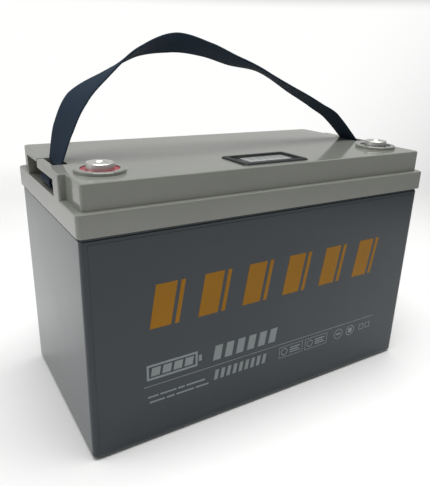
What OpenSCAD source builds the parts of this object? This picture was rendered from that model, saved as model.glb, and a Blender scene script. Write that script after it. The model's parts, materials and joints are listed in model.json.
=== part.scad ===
// Sealed 12 volt deep cycle battery with a webbing carry strap.
// Frame: X along the length, front face towards -Y, Z up.
// The origin is on the ground, below the middle of the case.

/* [Case] */
// Length over the lid rim
case_l = 330; // [329:1:340]
// Width over the lid rim
case_w = 172; // [170:1:180]
// How far the tub walls stand inside the lid rim
rim_step = 1.5; // [1:0.5:2]
// Wall thickness of the tub
tub_wall = 3; // [2.5:0.5:3]
// Radius of the tub's upright and bottom edges
tub_r = 4.5; // [3:0.5:6]
// Height of the label's top edge above the ground
label_top = 174; // [160:1:175]

/* [Lid] */
// Height of the rim's bottom edge
rim_low = 179; // [177:1:181]
// Height of the rim's top edge
rim_high = 195.3; // [193:0.1:196]
// Height of the lid's top face
lid_top = 213.8; // [213:0.1:216]
// How far the raised top stands inside the rim at the ends
raised_end_step = 5; // [4:0.5:6]
// How far the raised top stands inside the rim at front and back
raised_side_step = 4.4; // [3:0.2:5]
// Thickness of the lid's plastic
lid_wall = 3; // [2.5:0.5:3.5]

/* [Strap housings] */
// Width of the housing at each end of the lid
housing_w = 95; // [90:1:100]
// Depth of the recess behind each end window
recess_depth = 16; // [16:0.5:16.5]
// Height of the window below the hook bar
window_h = 12; // [11.5:0.5:12.5]
// Thickness of the post between the window and the housing's side
window_post = 14; // [10:1:16]
// How far the strap's slot lies from the middle line of the lid
slot_offset = 4; // [2:0.5:5]
// Distance from the middle of the lid to each slot
slot_x = 154.5; // [154:0.5:155]
// Size of the slot along the length of the lid
slot_l = 11; // [9:0.5:11]
// Size of the slot along the width of the lid
slot_w = 27; // [26.5:0.5:29]
// Width of the slit through which the strap's end loop slips in
slit_w = 1.8; // [1.6:0.1:2.5]
// Thickness of the lip over the window beside the slit
lip_t = 2.2; // [2:0.1:4]

/* [Terminals] */
// Distance from the middle of the lid to each terminal
term_x = 136; // [132:0.5:136]
// Distance of the terminals from the middle line, towards the front
term_y = 50; // [48:0.5:52]
// Radius of the raised boss around a terminal
boss_r = 18.3; // [17.5:0.1:19]
// Height of the boss above the lid's top face
boss_h = 2.6; // [2:0.1:3]
// Radius of the coloured ring
ring_r = 13.8; // [13:0.1:14.5]
// Radius of the terminal's flat metal head
head_r = 9.9; // [9.5:0.1:11]
// Height of the metal head's top face above the lid
head_h = 6.7; // [6:0.1:8]
// Radius of the tapped hole for the M8 cable bolt
tap_r = 3.4; // [3.3:0.05:3.5]
// Depth of the tapped hole
tap_depth = 13; // [10:0.5:14]

/* [Display] */
// Length of the display bezel
bezel_l = 63; // [60:1:66]
// Width of the display bezel
bezel_w = 36; // [34:1:38]
// Distance of the display's middle from the middle line, towards the front
bezel_y = 57; // [55:0.5:58]
// How far the bezel stands above the lid
bezel_h = 1.2; // [0.8:0.1:2]

/* [Strap] */
// Width of the webbing
strap_w = 25; // [24:0.5:25.5]
// Thickness of the webbing
strap_t = 1.6; // [1.2:0.1:1.8]
// Diameter of the pin sewn into each end loop
pin_d = 7; // [5:0.5:7]
// Length of the pin
pin_l = 34; // [33:1:36]
// Distance from the middle of the lid to each pin
pin_x = 158.5; // [157.5:0.5:158.5]

/* [Cells] */
// Thickness of a cell
cell_t = 49.6; // [48:0.1:49.8]
// Width of a cell
cell_w = 160; // [155:1:160.5]
// Height of a cell without its posts
cell_h = 118; // [112:1:120]
// Gap between cells, which holds an insulating sheet
cell_gap = 0.8; // [0.7:0.1:1]
// Distance of a cell's studs from the middle line
stud_y = 60; // [56:1:62]
// Thickness of a busbar
busbar_t = 2; // [1.5:0.5:2.5]

/* [Hidden] */

tub_l = case_l - 2 * rim_step;
tub_w = case_w - 2 * rim_step;
tub_top = rim_low - 0.6;
tongue_top = rim_high - 5;
tongue_l = tub_l - 4.4;
tongue_w = tub_w - 4.4;
tongue_t = 2;
tongue_r = 2.5;
tongue_root = 4;
tongue_gap = 0.3;
seam_h = 1.9;
seam_in = 0.9;
inner_l = tub_l - 2 * tub_wall;
inner_w = tub_w - 2 * tub_wall;
floor_z = tub_wall;
raised_l = case_l - 2 * raised_end_step;
raised_w = case_w - 2 * raised_side_step;
ceiling = lid_top - lid_wall;
boss_top = lid_top + boss_h;
head_top = lid_top + head_h;
edge_r = 1.2;
boss_ease = 0.6;
seal_room = 0.8;
eps = 0.05;
label_t = 0.3;
label_low = 9;

// Housing at each end
recess_front = -housing_w / 2 + window_post;
recess_back = housing_w / 2 - 2.5;
bar_low = rim_high + window_h;
lip_low = lid_top - lip_t;
slot_front = -slot_offset - slot_w / 2;
slot_back = -slot_offset + slot_w / 2 + 1.5;
recess_in = case_l / 2 - recess_depth;
recess_wall = 2;
loop_r = pin_d / 2 + strap_t + 0.1;
pin_z = rim_high + loop_r + 0.5;

// Terminal stack, from the lid's top face down
ring_low = boss_top - 2;
ring_high = boss_top - 0.6;
shank_r = 8;
shank_low = ceiling - 11;
stud_r = 4;
stud_low = shank_low - 12;
lug_low = shank_low - 2.5;

// Cell stack
foam_t = 5;
cell_low = floor_z + foam_t + 0.2;
cell_top = cell_low + cell_h;
pitch = cell_t + cell_gap;
stack_half = 2 * cell_t + 1.5 * cell_gap;
plate_t = 3;
band_t = 0.7;
stud_hole = 3.2;
m6_r = 3;
seat_h = 1.4;
busbar_low = cell_top + seat_h + 0.1;
nut_low = busbar_low + busbar_t + 0.1;

// Battery management board, above the cells
tray_low = cell_top + 17;
tray_t = 2;
board_low = tray_low + tray_t + 5;
board_t = 1.6;
board_top = board_low + board_t;

// Strap centre line: each point is followed by the width direction's lean along X and Z
strap_route = [
    [[-154.5, -4, 214.2], [0.10, 0.00]],
    [[-147, -4, 238], [0.30, -0.15]],
    [[-135, -3, 259], [0.35, -0.15]],
    [[-113, -3, 276], [-0.15, -0.05]],
    [[-85, -2, 293], [-0.55, 0.15]],
    [[-56, -1, 300], [-0.45, 0.65]],
    [[-26, -1, 296], [-0.35, 0.45]],
    [[2, 0, 288], [-0.50, 0.35]],
    [[36, 1, 279], [-0.60, 0.10]],
    [[75, 2, 262], [-0.60, 0.25]],
    [[104, 3, 249], [-0.45, 0.25]],
    [[126, 4, 238], [-0.32, 0.27]],
    [[154.5, 4, 214.2], [-0.10, 0.05]]
];
strap_last = len(strap_route) - 1;
strap_rings = 6;

// Centre lines of the wires
positive_route = [
    [-96.2, -60, 131.9], [-103, -60, 132.4], [-111, -60, 140], [-112, -59, 152], [-106, -57, 166],
    [-97, -54, 180], [-94, -52, 190], [-100, -50, 195], [-108, -50, 195.5], [-115.8, -50, 195.5]
];
negative_route = [
    [96.2, -60, 131.9], [102, -60, 132.2], [107, -58, 143], [102, -53, 151],
    [90, -46, 157], [76, -34, 158], [62, -30, 156.1], [48, -30, 156.1]
];
output_route = [
    [50, 20, 156.1], [62, 20, 156.1], [76, 18, 157], [92, 8, 162], [104, -10, 172],
    [106, -28, 184], [100, -44, 193], [104, -50, 195.5], [110, -50, 195.5], [115.8, -50, 195.5]
];
display_route = [
    [-6, -57, 208.4], [-7, -56, 203], [-20, -53, 199], [-50, -49, 200], [-84, -47, 203], [-108, -48, 204.5],
    [-121, -50, 202]
];
sensor_route = [
    [-25.2, -26, 130.4], [-29, -25, 134.5], [-44, -22, 138.5], [-72, -20, 139.5],
    [-81, -20, 144], [-80, -20, 152], [-72, -20, 155], [-63, -20, 152.9]
];
// Each sense wire: X and Y of its start, Y of its run along the cells, X of its riser, Y at the plug
sense_wires = [
    [-75.6, -52, -47, -84, 0], [0, -51, -50, -86.2, -3.6], [75.6, -52.4, -53, -88.4, -7.2],
    [-50.4, 51, 50, -86.2, 3.6], [50.4, 52.4, 53, -88.4, 7.2]
];
sense_low = 130.2;
harness_z = 139;

// Point at t on a smooth curve through the points p; t counts points
function spline(p, t) =
    let (i = min(floor(t), len(p) - 2), f = t - i, g = 1 - f)
    let (a = p[max(i - 1, 0)], b = p[i], c = p[i + 1], d = p[min(i + 2, len(p) - 1)])
    let (span = max(norm(c - b), eps))
    let (m = (c - a) * span / (norm(b - a) + span), n = (d - b) * span / (norm(d - c) + span))
    g * g * (1 + 2 * f) * b + f * f * (3 - 2 * f) * c + f * g * g * m - f * f * g * n;
function unit(v) = v / norm(v);
function heading(p, t) = unit(spline(p, t + 0.01) - spline(p, t - 0.01));

// Triangles of a solid swept through n rings of k points
function sweep_faces(n, k) = concat(
    [[for (j = [0:k - 1]) j]],
    [for (i = [0:n - 2], j = [0:k - 1]) [i * k + j, (i + 1) * k + j, (i + 1) * k + (j + 1) % k]],
    [for (i = [0:n - 2], j = [0:k - 1]) [i * k + j, (i + 1) * k + (j + 1) % k, i * k + (j + 1) % k]],
    [[for (j = [k - 1:-1:0]) (n - 1) * k + j]]
);

// Round wire along a list of points
wire_side = [0.31, 0.89, 0.33];
module wire(path, r, sides, steps) {
    n = (len(path) - 1) * steps + 1;
    points = [
        for (i = [0:n - 1])
        let (t = i / steps, h = heading(path, min(max(t, 0.01), len(path) - 1.01)))
        let (u = unit(cross(h, wire_side)), v = cross(h, u))
        for (j = [0:sides - 1]) spline(path, t) + r * (u * cos(360 * j / sides) + v * sin(360 * j / sides))
    ];
    polyhedron(points, sweep_faces(n, sides), convexity = 4);
}

strap_points = [for (s = strap_route) s[0]];
strap_leans = [for (s = strap_route) [s[1][0], -1, s[1][1]]];
function strap_ring(t) =
    let (h = heading(strap_points, min(max(t, 0.01), strap_last - 0.01)))
    let (lean = spline(strap_leans, t), w = unit(lean - (lean * h) * h), n = cross(h, w))
    let (c = spline(strap_points, t), a = strap_w / 2 * w, b = strap_t / 2 * n)
    [c - a - b, c + a - b, c + a + b, c - a + b];

// Webbing between two places on the strap's centre line
module webbing(from, to) {
    n = ceil((to - from) * strap_rings) + 1;
    points = [for (i = [0:n - 1]) each strap_ring(from + (to - from) * i / (n - 1))];
    polyhedron(points, sweep_faces(n, 4), convexity = 6);
}

module rounded_plate(l, w, h, r) {
    linear_extrude(h) {
        square([l - 2 * r, w], center = true);
        square([l, w - 2 * r], center = true);
        for (x = [-1, 1], y = [-1, 1])
            translate([x * (l / 2 - r), y * (w / 2 - r)]) circle(r = r, $fn = 48);
    }
}

// Plate with its upper edges eased
module eased_plate(l, w, low, high, r) {
    hull() {
        translate([0, 0, low]) rounded_plate(l, w, high - low - edge_r, r);
        translate([0, 0, high - edge_r]) rounded_plate(l - 0.6, w - 0.6, edge_r * 0.65, r);
        translate([0, 0, high - edge_r]) rounded_plate(l - 2 * edge_r, w - 2 * edge_r, edge_r, r);
    }
}

module frame_plate(l, w, h, wall, r) {
    difference() {
        rounded_plate(l, w, h, r);
        translate([0, 0, -1]) rounded_plate(l - 2 * wall, w - 2 * wall, h + 2, max(r - wall, 0.5));
    }
}

module at_terminals() {
    for (side = [-1, 1]) translate([side * term_x, -term_y, 0]) children();
}

module box(low, high) {
    translate(low) cube(high - low);
}

module case_tub() {
    color([0.30, 0.32, 0.31]) {
        difference() {
            hull() {
                for (x = [-1, 1], y = [-1, 1])
                    translate([x * (tub_l / 2 - tub_r), y * (tub_w / 2 - tub_r), 0]) {
                        translate([0, 0, tub_r]) sphere(r = tub_r, $fn = 32);
                        translate([0, 0, tub_top - 1]) cylinder(r = tub_r, h = 1, $fn = 32);
                    }
            }
            translate([0, 0, floor_z]) rounded_plate(inner_l, inner_w, tub_top, 2);
            translate([0, 0, tub_top - seam_h])
                frame_plate(tub_l + 2, tub_w + 2, seam_h + 1, seam_in + 1, tub_r + 1);
        }
        translate([0, 0, tub_top - tongue_root])
            frame_plate(tongue_l, tongue_w, tongue_top - tub_top + tongue_root, tongue_t, tongue_r);
    }
}

// Space inside the lid, which the two strap housings reach into
module lid_space() {
    ledge = 1.5;
    end_rib = 3;
    skirt_top = rim_high - 6;
    step_low = rim_high - 8;
    upper_l = raised_l - 2 * lid_wall - 2 * end_rib;
    upper_w = raised_w - 2 * lid_wall;
    difference() {
        union() {
            translate([0, 0, rim_low - 1])
                rounded_plate(inner_l - 2 * ledge, inner_w - 2 * ledge, skirt_top - rim_low + 1, 2);
            translate([0, 0, step_low]) rounded_plate(upper_l, upper_w, ceiling - step_low, 2);
        }
        for (turn = [0, 180])
            rotate([0, 0, turn]) box(
                [-case_l, recess_front - lid_wall, rim_high - lid_wall],
                [-recess_in + recess_wall, recess_back + lid_wall, lid_top]);
    }
}

// Window, recess, slot and slit of the left end
module strap_way() {
    outside = -case_l / 2 - 1;
    box([outside, recess_front, rim_high], [-recess_in, recess_back, bar_low]);
    box([outside, slot_back + slit_w, bar_low - eps], [-recess_in, recess_back, lip_low]);
    box([-slot_x - slot_l / 2, slot_front, bar_low - eps], [-slot_x + slot_l / 2, slot_back, lid_top + 1]);
    box([outside, slot_back - eps, bar_low - eps], [-slot_x + slot_l / 2, slot_back + slit_w, lid_top + 1]);
}

module lid() {
    boss_straight = boss_h - boss_ease;
    tongue_way = tongue_t + 2 * tongue_gap;
    color([0.62, 0.64, 0.60])
    difference() {
        union() {
            eased_plate(case_l, case_w, rim_low, rim_high, 4);
            eased_plate(raised_l, raised_w, rim_high - 3, lid_top, 3);
            eased_plate(case_l, housing_w, rim_high - 3, lid_top, 1.5);
            at_terminals() {
                translate([0, 0, lid_top - 1]) cylinder(r = boss_r, h = boss_straight + 1, $fn = 96);
                translate([0, 0, lid_top + boss_straight - eps])
                    cylinder(r1 = boss_r, r2 = boss_r - boss_ease, h = boss_ease + eps, $fn = 96);
            }
        }
        lid_space();
        translate([0, 0, rim_low - 1])
            frame_plate(tongue_l + 2 * tongue_gap, tongue_w + 2 * tongue_gap,
                tongue_top - rim_low + 1 + seal_room, tongue_way, tongue_r + tongue_gap);
        strap_way();
        rotate([0, 0, 180]) strap_way();
        at_terminals() {
            translate([0, 0, ceiling - 1]) cylinder(r = shank_r + 0.2, h = 20, $fn = 64);
            translate([0, 0, ring_low]) cylinder(r = ring_r + 0.15, h = 20, $fn = 96);
        }
        translate([0, -bezel_y, ceiling - 1])
            rounded_plate(display_l + 0.4, display_w + 0.4, lid_wall + 2, 1.5);
    }
}

module lid_seal() {
    color([0.12, 0.12, 0.12])
    translate([0, 0, tongue_top + 0.1])
        frame_plate(tongue_l, tongue_w, seal_room - 0.2, tongue_t, tongue_r);
}

module front_label() {
    color([0.24, 0.27, 0.28])
    translate([0, -tub_w / 2, (label_top + label_low) / 2])
        rotate([90, 0, 0]) rounded_plate(tub_l - 2 * tub_r - 1, label_top - label_low, label_t, 2);
}

module terminal_ring() {
    difference() {
        translate([0, 0, ring_low + 0.05]) cylinder(r = ring_r, h = ring_high - ring_low, $fn = 96);
        translate([0, 0, ring_low - 1]) cylinder(r = shank_r + 0.1, h = 10, $fn = 64);
    }
}

module positive_ring() {
    color([0.62, 0.05, 0.10]) translate([-term_x, -term_y, 0]) terminal_ring();
}

module negative_ring() {
    color([0.08, 0.08, 0.08]) translate([term_x, -term_y, 0]) terminal_ring();
}

// Tinned brass insert: round head, shank through the lid, stud for the cable lug inside
module terminal_insert() {
    head_low = ring_high + 0.1;
    ease = 0.6;
    ease_low = head_top - ease;
    mouth = 0.9;
    difference() {
        union() {
            translate([0, 0, head_low]) cylinder(r = head_r, h = ease_low - head_low, $fn = 96);
            translate([0, 0, ease_low - eps])
                cylinder(r1 = head_r, r2 = head_r - ease, h = ease + eps, $fn = 96);
            translate([0, 0, shank_low]) cylinder(r = shank_r, h = head_low - shank_low + 1, $fn = 64);
            translate([0, 0, stud_low]) cylinder(r = stud_r, h = 20, $fn = 48);
        }
        translate([0, 0, head_top - tap_depth]) cylinder(r = tap_r, h = tap_depth + 1, $fn = 48);
        translate([0, 0, head_top - mouth])
            cylinder(r1 = tap_r, r2 = tap_r + mouth + 0.1, h = mouth + 0.1, $fn = 48);
    }
}

module positive_terminal() {
    color([0.80, 0.80, 0.78]) translate([-term_x, -term_y, 0]) terminal_insert();
}

module negative_terminal() {
    color([0.80, 0.80, 0.78]) translate([term_x, -term_y, 0]) terminal_insert();
}

module terminal_seals() {
    color([0.1, 0.1, 0.1])
    at_terminals() translate([0, 0, ceiling - 1.3])
        rotate_extrude($fn = 64) translate([shank_r + 1.3, 0]) circle(r = 1.2, $fn = 24);
}

module terminal_nuts() {
    color([0.75, 0.72, 0.62])
    at_terminals() translate([0, 0, ceiling - 8.6]) rotate([0, 0, 30]) difference() {
        cylinder(r = 12, h = 6, $fn = 6);
        translate([0, 0, -1]) cylinder(r = shank_r + 0.05, h = 8, $fn = 64);
    }
}

module lug_nuts() {
    color([0.7, 0.7, 0.7])
    at_terminals() translate([0, 0, lug_low - 6.7]) difference() {
        cylinder(r = 7.5, h = 6.5, $fn = 6);
        translate([0, 0, -1]) cylinder(r = stud_r + 0.05, h = 9, $fn = 48);
    }
}

// Display unit: bezel with a tray-shaped back, window, panel and board
display_low = lid_top - 10;
display_l = bezel_l - 5;
display_w = bezel_w - 5;
view_l = bezel_l - 14;
view_w = bezel_w - 14;
window_l = bezel_l - 9;
window_w = bezel_w - 9;
module display_bezel() {
    back_wall = 1.5;
    back_l = display_l - 2 * back_wall;
    back_w = display_w - 2 * back_wall;
    shelf_low = lid_top - 1.8;
    color([0.05, 0.05, 0.06])
    translate([0, -bezel_y, 0]) difference() {
        union() {
            eased_plate(bezel_l, bezel_w, lid_top + 0.05, lid_top + bezel_h + 0.2, 2.5);
            translate([0, 0, display_low])
                rounded_plate(display_l, display_w, lid_top + 0.5 - display_low, 1.4);
        }
        translate([0, 0, display_low - 1])
            rounded_plate(back_l, back_w, shelf_low - display_low + 1, 1);
        translate([0, 0, display_low]) rounded_plate(view_l, view_w, 20, 1);
        translate([0, 0, lid_top]) rounded_plate(window_l, window_w, 5, 1.2);
    }
}

module display_window() {
    color([0.55, 0.62, 0.66, 0.5])
    translate([0, -bezel_y, lid_top + 0.05]) rounded_plate(window_l - 0.4, window_w - 0.4, bezel_h - 0.05, 1);
}

module lcd_panel() {
    color([0.35, 0.38, 0.36])
    translate([0, -bezel_y, lid_top - 3]) rounded_plate(view_l - 0.6, view_w - 0.6, 2.8, 0.6);
}

module at_display_screws() {
    for (x = [-1, 1], y = [-1, 1])
        translate([x * (bezel_l / 2 - 7), -bezel_y + y * (bezel_w / 2 - 6.5), 0]) children();
}

module display_board() {
    board_z = lid_top - 4.9;
    color([0.05, 0.30, 0.18])
    difference() {
        translate([0, -bezel_y, board_z]) rounded_plate(bezel_l - 8.6, bezel_w - 8.6, 1.6, 0.8);
        at_display_screws() translate([0, 0, board_z - 1]) cylinder(r = 1.2, h = 4, $fn = 24);
    }
}

module display_screws() {
    color([0.7, 0.7, 0.7])
    at_display_screws() translate([0, 0, lid_top - 6.3]) {
        cylinder(r = 2, h = 1.3, $fn = 24);
        cylinder(r = 1.1, h = 2.9, $fn = 24);
    }
}

// Red wire to the positive terminal and black wire to the negative one
display_wire_r = 1.1;
module display_lead() {
    color([0.7, 0.1, 0.1]) wire(display_route, display_wire_r, 8, 3);
    color([0.1, 0.1, 0.1]) wire([for (p = display_route) [-p[0], p[1], p[2]]], display_wire_r, 8, 3);
}

// One prismatic cell with eased edges and a seat under each stud
seat_l = 16;
seat_w = 24;
module cell(index) {
    translate([(index - 2.5) * pitch, 0, 0]) {
        translate([0, 0, cell_low]) rounded_plate(cell_t, cell_w, cell_h, 3);
        for (side = [-1, 1])
            translate([0, side * stud_y, cell_top - 1]) rounded_plate(seat_l, seat_w, seat_h + 1, 4);
    }
}

module cell_1() { color([0.12, 0.28, 0.55]) cell(1); }
module cell_2() { color([0.12, 0.28, 0.55]) cell(2); }
module cell_3() { color([0.12, 0.28, 0.55]) cell(3); }
module cell_4() { color([0.12, 0.28, 0.55]) cell(4); }

module at_cells() {
    for (index = [1:4]) translate([(index - 2.5) * pitch, 0, 0]) children();
}

module cell_insulators() {
    color([0.75, 0.72, 0.35])
    for (index = [1:3])
        translate([(index - 2) * pitch - 0.25, -cell_w / 2 + 2, cell_low + 2])
            cube([0.5, cell_w - 4, cell_h - 4]);
}

module cell_vents() {
    color([0.7, 0.7, 0.7])
    at_cells() translate([0, 0, cell_top + 0.05]) rounded_plate(14, 26, 0.5, 6.5);
}

module cell_studs() {
    color([0.75, 0.75, 0.75])
    at_cells() for (side = [-1, 1])
        translate([0, side * stud_y, cell_top + seat_h + eps]) cylinder(r = m6_r, h = 11, $fn = 32);
}

module end_plates() {
    color([0.75, 0.77, 0.78])
    for (side = [-1, 1])
        translate([side * (stack_half + 0.4 + plate_t / 2), 0, cell_low + cell_h / 2])
            rotate([0, 90, 0]) translate([0, 0, -plate_t / 2])
                rounded_plate(cell_h - 4, cell_w - 4, plate_t, 4);
}

module compression_bands() {
    band_l = 2 * (stack_half + 0.4 + plate_t + 0.2 + band_t);
    band_w = cell_w + 2 * band_t + 0.4;
    band_h = 16;
    color([0.6, 0.62, 0.64])
    for (share = [0.28, 0.72])
        translate([0, 0, cell_low + share * cell_h - band_h / 2])
            frame_plate(band_l, band_w, band_h, band_t, 3.2);
}

// Links the studs of two neighbouring cells
module busbar(index, side) {
    translate([(index - 2) * pitch, side * stud_y, busbar_low]) difference() {
        rounded_plate(pitch + 22, 20, busbar_t, 4);
        for (x = [-1, 1]) translate([x * pitch / 2, 0, -1]) cylinder(r = stud_hole, h = 10, $fn = 32);
    }
}

module busbar_1() { color([0.72, 0.42, 0.25]) busbar(1, 1); }
module busbar_2() { color([0.72, 0.42, 0.25]) busbar(2, -1); }
module busbar_3() { color([0.72, 0.42, 0.25]) busbar(3, 1); }

module m6_nut() {
    difference() {
        union() {
            cylinder(r = 6.6, h = 1, $fn = 40);
            cylinder(r = 5.7, h = 5, $fn = 6);
        }
        translate([0, 0, -1]) cylinder(r = m6_r + 0.05, h = 9, $fn = 32);
    }
}

module busbar_nuts() {
    color([0.7, 0.7, 0.7])
    for (x = [-1.5:1:1.5], side = [-1, 1]) {
        free_stud = side < 0 && abs(x) > 1;
        translate([x * pitch, side * stud_y, nut_low + (free_stud ? 0.6 : 0)]) m6_nut();
    }
}

module base_foam() {
    color([0.15, 0.15, 0.16])
    translate([0, 0, floor_z + 0.1]) rounded_plate(2 * stack_half + 6, cell_w - 4, foam_t, 4);
}

module side_foam(side) {
    foam_l = inner_l / 2 - stack_half - plate_t - 4;
    translate([side * (inner_l / 2 - 1 - foam_l / 2), 0, floor_z + 0.1])
        rounded_plate(foam_l, inner_w - 6, cell_h, 3);
}

module left_foam() { color([0.2, 0.2, 0.22]) side_foam(-1); }
module right_foam() { color([0.2, 0.2, 0.22]) side_foam(1); }

tray_l = 150;
tray_w = 104;
module at_tray_posts() {
    for (x = [-1, 1], y = [-1, 1]) translate([x * pitch * 1.42, y * 42, 0]) children();
}

module board_tray() {
    color([0.85, 0.8, 0.55])
    translate([0, 0, tray_low]) difference() {
        rounded_plate(tray_l, tray_w, tray_t, 5);
        translate([0, 0, -tray_low]) at_tray_posts() cylinder(r = 1.6, h = 300, $fn = 24);
        rounded_plate(30, 20, 9, 4);
    }
}

module tray_standoffs() {
    color([0.8, 0.8, 0.75])
    at_tray_posts() translate([0, 0, cell_top + 0.1]) cylinder(r = 4, h = tray_low - cell_top - 0.2, $fn = 6);
}

board_l = 132;
board_w = 88;
module at_board_screws() {
    for (x = [-1, 1], y = [-1, 1]) translate([x * (board_l / 2 - 5), y * (board_w / 2 - 5), 0]) children();
}

module bms_board() {
    color([0.04, 0.25, 0.16])
    difference() {
        translate([0, 0, board_low]) rounded_plate(board_l, board_w, board_t, 3);
        at_board_screws() translate([0, 0, board_low - 1]) cylinder(r = 1.7, h = 5, $fn = 24);
    }
}

sink_l = 84;
sink_w = 44;
sink_y = 16;
chip_l = 10;
chip_w = 9.5;
chip_h = 4.6;
module bms_heat_sink() {
    fin_count = 9;
    fin_t = 1.6;
    fin_pitch = 5;
    first_fin = -fin_pitch * (fin_count - 1) / 2 - fin_t / 2;
    color([0.7, 0.72, 0.74])
    translate([0, sink_y, board_top + chip_h + 0.3]) {
        rounded_plate(sink_l, sink_w, 3, 2);
        for (i = [0:fin_count - 1])
            translate([-sink_l / 2, first_fin + i * fin_pitch, 2.9]) cube([sink_l, fin_t, 9]);
    }
}

// Two rows of switching transistors under the heat sink
module bms_mosfets() {
    row_y = 13;
    chip_pitch = 11.5;
    color([0.08, 0.08, 0.08])
    for (i = [-3:3], row = [-1, 1])
        translate([i * chip_pitch - chip_l / 2, sink_y + row * row_y - chip_w / 2, board_top + 0.1])
            cube([chip_l, chip_w, chip_h]);
}

module bms_shunts() {
    shunt_size = [8, 14, 2.5];
    shunt_pitch = 12;
    color([0.6, 0.45, 0.3])
    for (i = [0:2]) translate([-8 + i * shunt_pitch, -32, board_top + 0.1]) cube(shunt_size);
}

// Plug housing for the sense wires, open towards the wires
module bms_connector() {
    plug_size = [9, 24, 8];
    plug_wall = [1, 2, 1.5];
    color([0.92, 0.9, 0.82])
    translate([-60, -plug_size[1] / 2, board_top + 0.1]) difference() {
        cube(plug_size);
        translate([-1, plug_wall[1], plug_wall[2]])
            cube(plug_size - [plug_wall[0] - 1, 2 * plug_wall[1], 2 * plug_wall[2]]);
    }
}

module bms_screws() {
    color([0.75, 0.75, 0.75])
    at_board_screws() {
        translate([0, 0, board_top + 0.05]) cylinder(r = 3, h = 2, $fn = 32);
        translate([0, 0, tray_low + tray_t + 0.1])
            cylinder(r = 1.5, h = board_top - tray_low - tray_t, $fn = 24);
    }
}

module temperature_sensor() {
    color([0.1, 0.1, 0.1]) {
        translate([-pitch / 2, -26, cell_top + 2.3]) sphere(r = 2, $fn = 24);
        wire(sensor_route, sense_wire_r, 6, 2);
    }
}

lead_r = 4;
module positive_lead() { color([0.72, 0.08, 0.08]) wire(positive_route, lead_r, 12, 3); }
module negative_lead() { color([0.08, 0.08, 0.08]) wire(negative_route, lead_r, 12, 3); }
module output_lead() { color([0.08, 0.08, 0.08]) wire(output_route, lead_r, 12, 3); }

// Cable lug along +X: a ring, and a barrel that stands above its palm
lug_t = 2.4;
lug_l = 20;
lug_r = 8.5;
barrel_r = 5.2;
module cable_lug(hole_r) {
    palm_w = 10;
    barrel_x = lug_r + 1;
    difference() {
        union() {
            cylinder(r = lug_r, h = lug_t, $fn = 48);
            translate([0, -palm_w / 2, 0]) cube([barrel_x + 2, palm_w, lug_t]);
            translate([barrel_x, 0, barrel_r - 1]) rotate([0, 90, 0])
                cylinder(r = barrel_r, h = lug_l - barrel_x, $fn = 48);
        }
        translate([0, 0, -1]) cylinder(r = hole_r, h = lug_t + 2, $fn = 32);
    }
}

module lead_lugs() {
    color([0.75, 0.7, 0.6])
    for (side = [-1, 1]) {
        translate([side * 1.5 * pitch, -stud_y, busbar_low])
            rotate([0, 0, 90 - side * 90]) cable_lug(stud_hole);
        translate([side * term_x, -term_y, lug_low + lug_t])
            rotate([180, 0, 90 + side * 90]) cable_lug(stud_r + 0.2);
    }
}

// Sense wires from each busbar and end lug to the connector
sense_wire_r = 0.8;
module balance_harness() {
    for (i = [0:len(sense_wires) - 1]) {
        x = sense_wires[i][0];
        y = sense_wires[i][1];
        run_y = sense_wires[i][2];
        riser_x = sense_wires[i][3];
        plug_y = sense_wires[i][4];
        color([0.2 + 0.12 * i, 0.15, 0.15])
        wire([
            [x, y, sense_low], [x, y, sense_low + 5], [x - 3, run_y, harness_z],
            [riser_x + 4, run_y, harness_z], [riser_x, run_y * 0.7, harness_z + 2],
            [riser_x, plug_y * 2.2, 147], [riser_x + 5, plug_y * 1.4, 153],
            [-70, plug_y, 156], [-60.2, plug_y, 156]
        ], sense_wire_r, 6, 2);
    }
}

module carry_strap() { color([0.10, 0.12, 0.16]) webbing(1, strap_last - 1); }
module left_strap_root() { color([0.10, 0.12, 0.16]) webbing(0, 0.98); }
module right_strap_root() { color([0.10, 0.12, 0.16]) webbing(strap_last - 0.98, strap_last); }

// Sewn end loop: two plies through the slot, which lean out to close round the pin under the hook bar
module strap_loop() {
    ply_x = pin_x - slot_x;
    ply_low = bar_low + 1.4 - pin_z;
    ply_high = lid_top - 0.8 - pin_z;
    translate([-pin_x, -slot_offset + strap_w / 2, pin_z]) rotate([90, 0, 0]) linear_extrude(strap_w) {
        difference() {
            union() {
                circle(r = loop_r, $fn = 48);
                polygon([
                    [-0.2 * loop_r, 0.8 * loop_r], [0.95 * loop_r, 0], [ply_x + strap_t, ply_low],
                    [ply_x + strap_t, ply_high], [ply_x - strap_t, ply_high], [ply_x - strap_t, ply_low]
                ]);
            }
            circle(r = loop_r - strap_t, $fn = 48);
        }
    }
}

module left_strap_loop() { color([0.10, 0.12, 0.16]) strap_loop(); }
module right_strap_loop() { color([0.10, 0.12, 0.16]) rotate([0, 0, 180]) strap_loop(); }

module strap_pin() {
    translate([-pin_x, -slot_offset + pin_l / 2, pin_z]) rotate([90, 0, 0])
        cylinder(d = pin_d, h = pin_l, $fn = 32);
}

module left_strap_pin() { color([0.15, 0.15, 0.15]) strap_pin(); }
module right_strap_pin() { color([0.15, 0.15, 0.15]) rotate([0, 0, 180]) strap_pin(); }

case_tub();
lid();
lid_seal();
front_label();
positive_ring();
negative_ring();
positive_terminal();
negative_terminal();
terminal_seals();
terminal_nuts();
lug_nuts();
display_bezel();
display_window();
lcd_panel();
display_board();
display_screws();
display_lead();
cell_1();
cell_2();
cell_3();
cell_4();
cell_insulators();
cell_vents();
cell_studs();
end_plates();
compression_bands();
busbar_1();
busbar_2();
busbar_3();
busbar_nuts();
base_foam();
left_foam();
right_foam();
board_tray();
tray_standoffs();
bms_board();
bms_heat_sink();
bms_mosfets();
bms_shunts();
bms_connector();
bms_screws();
temperature_sensor();
positive_lead();
negative_lead();
output_lead();
lead_lugs();
balance_harness();
carry_strap();
left_strap_root();
right_strap_root();
left_strap_loop();
right_strap_loop();
left_strap_pin();
right_strap_pin();
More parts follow.
